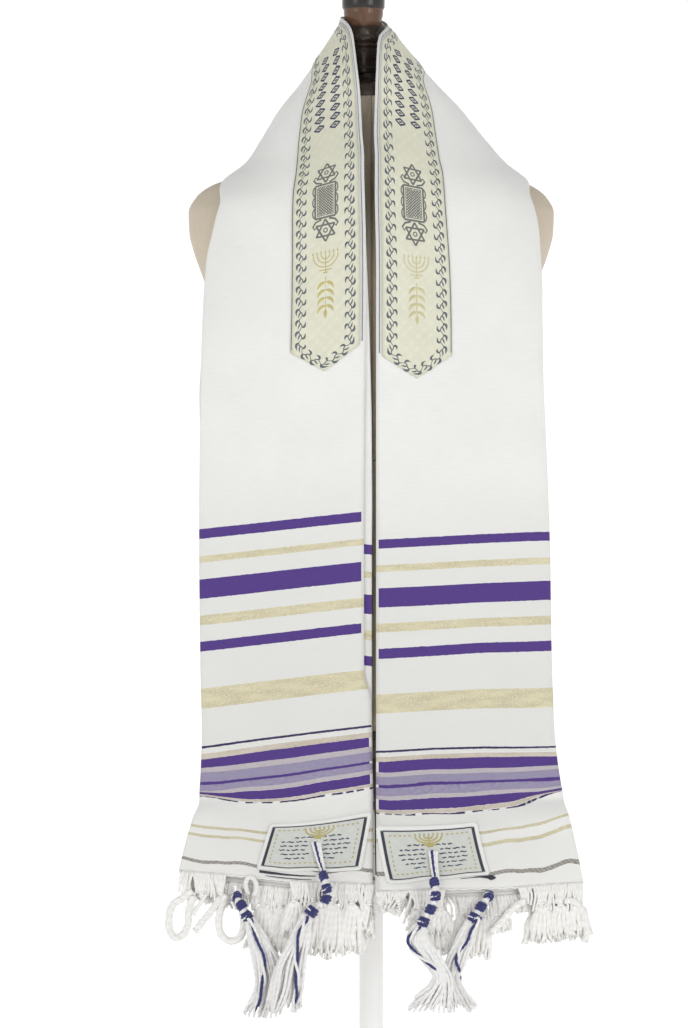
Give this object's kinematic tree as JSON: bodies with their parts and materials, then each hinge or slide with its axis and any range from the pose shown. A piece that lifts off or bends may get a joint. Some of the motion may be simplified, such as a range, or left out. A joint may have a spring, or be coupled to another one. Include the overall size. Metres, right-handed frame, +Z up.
{
  "type": "tallit prayer shawl on dress form",
  "caption": "Folded tallit prayer shawl with neckband, corner patches, knotted fringe and corner tassels, hung round the neck of a limbless dress form on a round-based stand.",
  "frame": {"origin": "centre of the base plate's underside, on the floor", "axes": "+Z up along the stand's pole, -Y the front that the shawl's ends hang down, +X to the right as seen from the front"},
  "size_m": [0.4289, 0.3785, 1.2576],
  "materials": {
    "shawl_cloth": "matt white weave with purple and gold stripes",
    "brocade": "satin cream brocade with navy and gold thread",
    "fringe": "matt white twisted yarn",
    "tassel_cord": "white cord with one blue strand",
    "linen": "beige linen cover",
    "dark_wood": "polished dark turned wood",
    "white_enamel": "white enamel"
  },
  "bodies": {
    "root": {"shawl_cloth": "shawl_cloth", "atarah_band": "brocade", "corner_patch_left_front": "brocade", "corner_patch_left_back": "brocade", "corner_patch_right_front": "brocade", "corner_patch_right_back": "brocade", "fringe_left_front": "fringe", "fringe_left_back": "fringe", "fringe_right_front": "fringe", "fringe_right_back": "fringe", "tzitzit_left_front": "tassel_cord", "tzitzit_left_back": "tassel_cord", "tzitzit_right_front": "tassel_cord", "tzitzit_right_back": "tassel_cord", "form_torso": "linen", "form_neck_cap": "dark_wood", "form_finial": "dark_wood", "form_spigot": "dark_wood", "stand_pole": "white_enamel", "stand_base": "white_enamel"}
  },
  "joints": []
}
